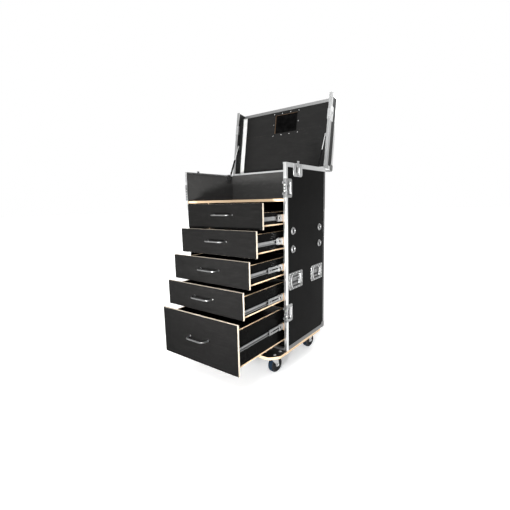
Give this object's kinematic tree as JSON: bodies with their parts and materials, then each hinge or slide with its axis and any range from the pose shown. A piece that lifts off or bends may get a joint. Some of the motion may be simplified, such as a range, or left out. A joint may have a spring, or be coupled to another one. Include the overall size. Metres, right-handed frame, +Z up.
{
  "type": "drawer flight case",
  "caption": "Tall road case on swivel castors, with pull-out drawers, an open bay, a top tray and a hinged lid on gas springs, edged in aluminium",
  "frame": {"origin": "on the floor, below the middle of the whole object with its drawers out and its lid open", "axes": "+Z up, +Y from the drawer fronts to the back, +X to the right side"},
  "size_m": [0.914, 1.2822, 1.9335],
  "materials": {
    "black_plywood": "satin phenolic film on birch plywood",
    "raw_plywood": "bare birch plywood",
    "aluminium": "mill-finish extrusion",
    "zinc_steel": "bright zinc-plated steel",
    "black_steel": "black painted steel",
    "blue_tyre": "blue elastic tyre on a black centre"
  },
  "bodies": {
    "case": {"castor_board": "raw_plywood", "left_side_panel": "black_plywood", "right_side_panel": "black_plywood", "left_front_edge_angle": "aluminium", "left_rear_edge_angle": "aluminium", "right_front_edge_angle": "aluminium", "right_rear_edge_angle": "aluminium", "top_rim": "aluminium", "base_panel": "black_plywood", "back_panel": "black_plywood", "tray_floor": "black_plywood", "bay_divider": "black_plywood"},
    "drawer_1": {"drawer_1_front": "black_plywood", "drawer_1_box": "black_plywood", "drawer_1_handle": "zinc_steel"},
    "drawer_1_runners": {"drawer_1_runner_left": "zinc_steel", "drawer_1_runner_right": "zinc_steel"},
    "drawer_2": {"drawer_2_front": "black_plywood", "drawer_2_box": "black_plywood", "drawer_2_handle": "zinc_steel"},
    "drawer_2_runners": {"drawer_2_runner_left": "zinc_steel", "drawer_2_runner_right": "zinc_steel"},
    "drawer_3": {"drawer_3_front": "black_plywood", "drawer_3_box": "black_plywood", "drawer_3_handle": "zinc_steel"},
    "drawer_3_runners": {"drawer_3_runner_left": "zinc_steel", "drawer_3_runner_right": "zinc_steel"},
    "drawer_4": {"drawer_4_front": "black_plywood", "drawer_4_box": "black_plywood", "drawer_4_handle": "zinc_steel"},
    "drawer_4_runners": {"drawer_4_runner_left": "zinc_steel", "drawer_4_runner_right": "zinc_steel"},
    "drawer_5": {"drawer_5_front": "black_plywood", "drawer_5_box": "black_plywood", "drawer_5_handle": "zinc_steel"},
    "drawer_5_runners": {"drawer_5_runner_left": "zinc_steel", "drawer_5_runner_right": "zinc_steel"},
    "lid": {"lid_shell": "black_plywood"},
    "left_gas_cylinder": {"left_gas_cylinder": "black_steel"},
    "left_gas_rod": {"left_gas_rod": "zinc_steel"},
    "right_gas_cylinder": {"right_gas_cylinder": "black_steel"},
    "right_gas_rod": {"right_gas_rod": "zinc_steel"},
    "castor_fork_front_left": {"castor_fork_front_left": "zinc_steel"},
    "castor_wheel_front_left": {"castor_wheel_front_left": "blue_tyre"},
    "castor_fork_rear_left": {"castor_fork_rear_left": "zinc_steel"},
    "castor_wheel_rear_left": {"castor_wheel_rear_left": "blue_tyre"},
    "castor_fork_front_right": {"castor_fork_front_right": "zinc_steel"},
    "castor_wheel_front_right": {"castor_wheel_front_right": "blue_tyre"},
    "castor_fork_rear_right": {"castor_fork_rear_right": "zinc_steel"},
    "castor_wheel_rear_right": {"castor_wheel_rear_right": "blue_tyre"},
    "left_front_bail_handle": {"left_front_bail_handle": "zinc_steel"},
    "left_rear_bail_handle": {"left_rear_bail_handle": "zinc_steel"},
    "left_cover_latch_upper": {"left_cover_latch_upper": "zinc_steel"},
    "left_cover_latch_lower": {"left_cover_latch_lower": "zinc_steel"},
    "left_lid_latch": {"left_lid_latch": "zinc_steel"},
    "right_front_bail_handle": {"right_front_bail_handle": "zinc_steel"},
    "right_rear_bail_handle": {"right_rear_bail_handle": "zinc_steel"},
    "right_cover_latch_upper": {"right_cover_latch_upper": "zinc_steel"},
    "right_cover_latch_lower": {"right_cover_latch_lower": "zinc_steel"},
    "right_lid_latch": {"right_lid_latch": "zinc_steel"}
  },
  "joints": [
    {"name": "drawer_1_slide", "type": "slide", "parent": "case", "child": "drawer_1", "axis": [0, -1, 0], "range_m": [-0.156, 0.283]},
    {"name": "drawer_1_runner_travel", "type": "slide", "parent": "case", "child": "drawer_1_runners", "axis": [0, -1, 0], "range_m": [-0.079, 0.1425]},
    {"name": "drawer_2_slide", "type": "slide", "parent": "case", "child": "drawer_2", "axis": [0, -1, 0], "range_m": [-0.223, 0.216]},
    {"name": "drawer_2_runner_travel", "type": "slide", "parent": "case", "child": "drawer_2_runners", "axis": [0, -1, 0], "range_m": [-0.1125, 0.109]},
    {"name": "drawer_3_slide", "type": "slide", "parent": "case", "child": "drawer_3", "axis": [0, -1, 0], "range_m": [-0.297, 0.142]},
    {"name": "drawer_3_runner_travel", "type": "slide", "parent": "case", "child": "drawer_3_runners", "axis": [0, -1, 0], "range_m": [-0.1495, 0.072]},
    {"name": "drawer_4_slide", "type": "slide", "parent": "case", "child": "drawer_4", "axis": [0, -1, 0], "range_m": [-0.359, 0.08]},
    {"name": "drawer_4_runner_travel", "type": "slide", "parent": "case", "child": "drawer_4_runners", "axis": [0, -1, 0], "range_m": [-0.1805, 0.041]},
    {"name": "drawer_5_slide", "type": "slide", "parent": "case", "child": "drawer_5", "axis": [0, -1, 0], "range_m": [-0.413, 0.026]},
    {"name": "drawer_5_runner_travel", "type": "slide", "parent": "case", "child": "drawer_5_runners", "axis": [0, -1, 0], "range_m": [-0.2075, 0.014]},
    {"name": "lid_hinge", "type": "hinge", "parent": "case", "child": "lid", "pos_m": [0, 0.43813, 1.372], "axis": [1, 0, 0], "range_deg": [0, 99.24]},
    {"name": "left_gas_pivot", "type": "hinge", "parent": "case", "child": "left_gas_cylinder", "pos_m": [-0.424, 0.37713, 1.376], "axis": [1, 0, 0], "range_deg": [-1, 112.98]},
    {"name": "left_gas_stroke", "type": "slide", "parent": "left_gas_cylinder", "child": "left_gas_rod", "axis": [0, 0.4197, 0.9076], "range_m": [-0.0778, 0.001]},
    {"name": "right_gas_pivot", "type": "hinge", "parent": "case", "child": "right_gas_cylinder", "pos_m": [0.424, 0.37713, 1.376], "axis": [1, 0, 0], "range_deg": [-1, 112.98]},
    {"name": "right_gas_stroke", "type": "slide", "parent": "right_gas_cylinder", "child": "right_gas_rod", "axis": [0, 0.4197, 0.9076], "range_m": [-0.0778, 0.001]},
    {"name": "castor_swivel_front_left", "type": "hinge", "parent": "case", "child": "castor_fork_front_left", "pos_m": [-0.378, -0.18287, 0.12], "axis": [0, 0, 1], "continuous": true},
    {"name": "castor_spin_front_left", "type": "hinge", "parent": "castor_fork_front_left", "child": "castor_wheel_front_left", "pos_m": [-0.37494, -0.16108, 0.054], "axis": [0.9903, -0.1392, 0], "continuous": true},
    {"name": "castor_swivel_rear_left", "type": "hinge", "parent": "case", "child": "castor_fork_rear_left", "pos_m": [-0.378, 0.34413, 0.12], "axis": [0, 0, 1], "continuous": true},
    {"name": "castor_spin_rear_left", "type": "hinge", "parent": "castor_fork_rear_left", "child": "castor_wheel_rear_left", "pos_m": [-0.38106, 0.32235, 0.054], "axis": [0.9903, -0.1392, 0], "continuous": true},
    {"name": "castor_swivel_front_right", "type": "hinge", "parent": "case", "child": "castor_fork_front_right", "pos_m": [0.378, -0.18287, 0.12], "axis": [0, 0, 1], "continuous": true},
    {"name": "castor_spin_front_right", "type": "hinge", "parent": "castor_fork_front_right", "child": "castor_wheel_front_right", "pos_m": [0.38106, -0.16108, 0.054], "axis": [0.9903, -0.1392, 0], "continuous": true},
    {"name": "castor_swivel_rear_right", "type": "hinge", "parent": "case", "child": "castor_fork_rear_right", "pos_m": [0.378, 0.34413, 0.12], "axis": [0, 0, 1], "continuous": true},
    {"name": "castor_spin_rear_right", "type": "hinge", "parent": "castor_fork_rear_right", "child": "castor_wheel_rear_right", "pos_m": [0.37494, 0.32235, 0.054], "axis": [0.9903, -0.1392, 0], "continuous": true},
    {"name": "left_front_bail_handle_lift", "type": "hinge", "parent": "case", "child": "left_front_bail_handle", "pos_m": [-0.4505, -0.00387, 0.637], "axis": [0, 1, 0], "range_deg": [0, 90], "stiffness_Nm_per_rad": 0.3},
    {"name": "left_rear_bail_handle_lift", "type": "hinge", "parent": "case", "child": "left_rear_bail_handle", "pos_m": [-0.4505, 0.30313, 0.637], "axis": [0, 1, 0], "range_deg": [0, 90], "stiffness_Nm_per_rad": 0.3},
    {"name": "left_cover_latch_upper_turn", "type": "hinge", "parent": "case", "child": "left_cover_latch_upper", "pos_m": [-0.449, -0.09387, 1.22], "axis": [1, 0, 0], "range_deg": [0, 180]},
    {"name": "left_cover_latch_lower_turn", "type": "hinge", "parent": "case", "child": "left_cover_latch_lower", "pos_m": [-0.449, -0.09387, 0.407], "axis": [1, 0, 0], "range_deg": [0, 180]},
    {"name": "left_lid_latch_turn", "type": "hinge", "parent": "case", "child": "left_lid_latch", "pos_m": [-0.449, 0.01913, 1.336], "axis": [1, 0, 0], "range_deg": [0, 180]},
    {"name": "right_front_bail_handle_lift", "type": "hinge", "parent": "case", "child": "right_front_bail_handle", "pos_m": [0.4505, -0.00387, 0.637], "axis": [0, -1, 0], "range_deg": [0, 90], "stiffness_Nm_per_rad": 0.3},
    {"name": "right_rear_bail_handle_lift", "type": "hinge", "parent": "case", "child": "right_rear_bail_handle", "pos_m": [0.4505, 0.30313, 0.637], "axis": [0, -1, 0], "range_deg": [0, 90], "stiffness_Nm_per_rad": 0.3},
    {"name": "right_cover_latch_upper_turn", "type": "hinge", "parent": "case", "child": "right_cover_latch_upper", "pos_m": [0.449, -0.09387, 1.22], "axis": [1, 0, 0], "range_deg": [0, 180]},
    {"name": "right_cover_latch_lower_turn", "type": "hinge", "parent": "case", "child": "right_cover_latch_lower", "pos_m": [0.449, -0.09387, 0.407], "axis": [1, 0, 0], "range_deg": [0, 180]},
    {"name": "right_lid_latch_turn", "type": "hinge", "parent": "case", "child": "right_lid_latch", "pos_m": [0.449, 0.01913, 1.336], "axis": [1, 0, 0], "range_deg": [0, 180]}
  ],
  "couplings": [
    {"joint": "drawer_1_runner_travel", "follows": "drawer_1_slide", "ratio": 0.5},
    {"joint": "drawer_2_runner_travel", "follows": "drawer_2_slide", "ratio": 0.5},
    {"joint": "drawer_3_runner_travel", "follows": "drawer_3_slide", "ratio": 0.5},
    {"joint": "drawer_4_runner_travel", "follows": "drawer_4_slide", "ratio": 0.5},
    {"joint": "drawer_5_runner_travel", "follows": "drawer_5_slide", "ratio": 0.5},
    {"joint": "left_gas_pivot", "follows": "lid_hinge", "ratio": 1.1283},
    {"joint": "left_gas_stroke", "follows": "lid_hinge", "m_per_rad": -0.044362},
    {"joint": "right_gas_pivot", "follows": "lid_hinge", "ratio": 1.1283},
    {"joint": "right_gas_stroke", "follows": "lid_hinge", "m_per_rad": -0.044362}
  ]
}
